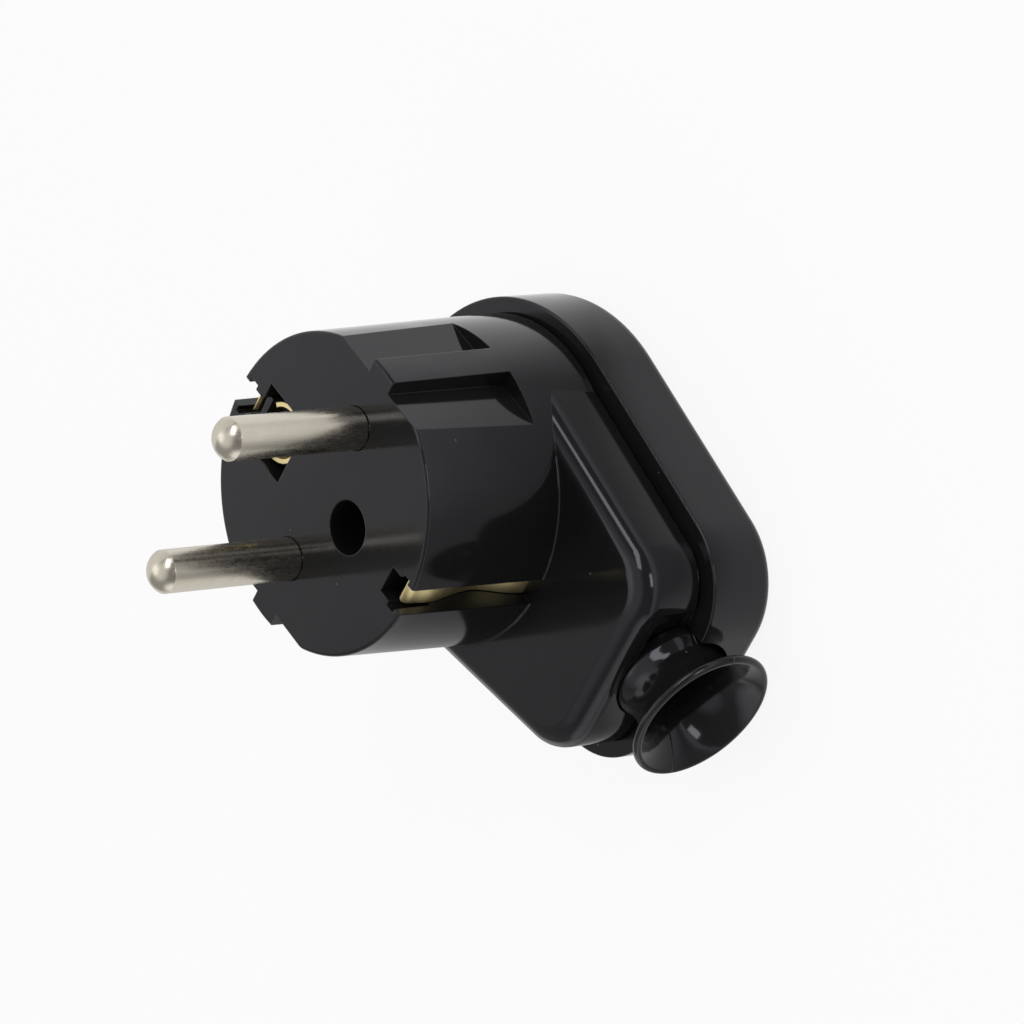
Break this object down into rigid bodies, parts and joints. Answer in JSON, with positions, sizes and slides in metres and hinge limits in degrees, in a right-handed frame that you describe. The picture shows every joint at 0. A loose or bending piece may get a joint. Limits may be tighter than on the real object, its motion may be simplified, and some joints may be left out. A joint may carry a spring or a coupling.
{
  "type": "electrical plug",
  "caption": "Right-angle rewirable mains plug with round pins, sprung side earth contacts, guide recesses and a flared cable guard, for domestic earthed sockets.",
  "frame": {"origin": "centre of the rear cover's flat back, on the line midway between the pins", "axes": "+Z along the pins, out of the engagement face; -Y toward the cable outlet; +X toward the right-hand pin"},
  "size_m": [0.0402, 0.0596, 0.055],
  "materials": {
    "black_plastic": "glossy moulded black",
    "soft_black": "glossy soft black",
    "nickel": "satin nickel plate",
    "brass": "bright stamped brass",
    "zinc_steel": "zinc-plated steel",
    "clamp_plastic": "matte black"
  },
  "bodies": {
    "root": {"front_housing": "black_plastic", "rear_cover": "black_plastic", "cable_guard": "soft_black", "pin_left": "nickel", "pin_right": "nickel", "pin_screw_left": "zinc_steel", "pin_screw_right": "zinc_steel", "earth_contact": "brass", "earth_nut": "brass", "earth_washer": "zinc_steel", "earth_screw": "zinc_steel", "cord_clamp": "clamp_plastic", "cord_clamp_screw_left": "zinc_steel", "cord_clamp_screw_right": "zinc_steel", "assembly_screw": "zinc_steel", "threaded_insert": "brass"}
  },
  "joints": []
}
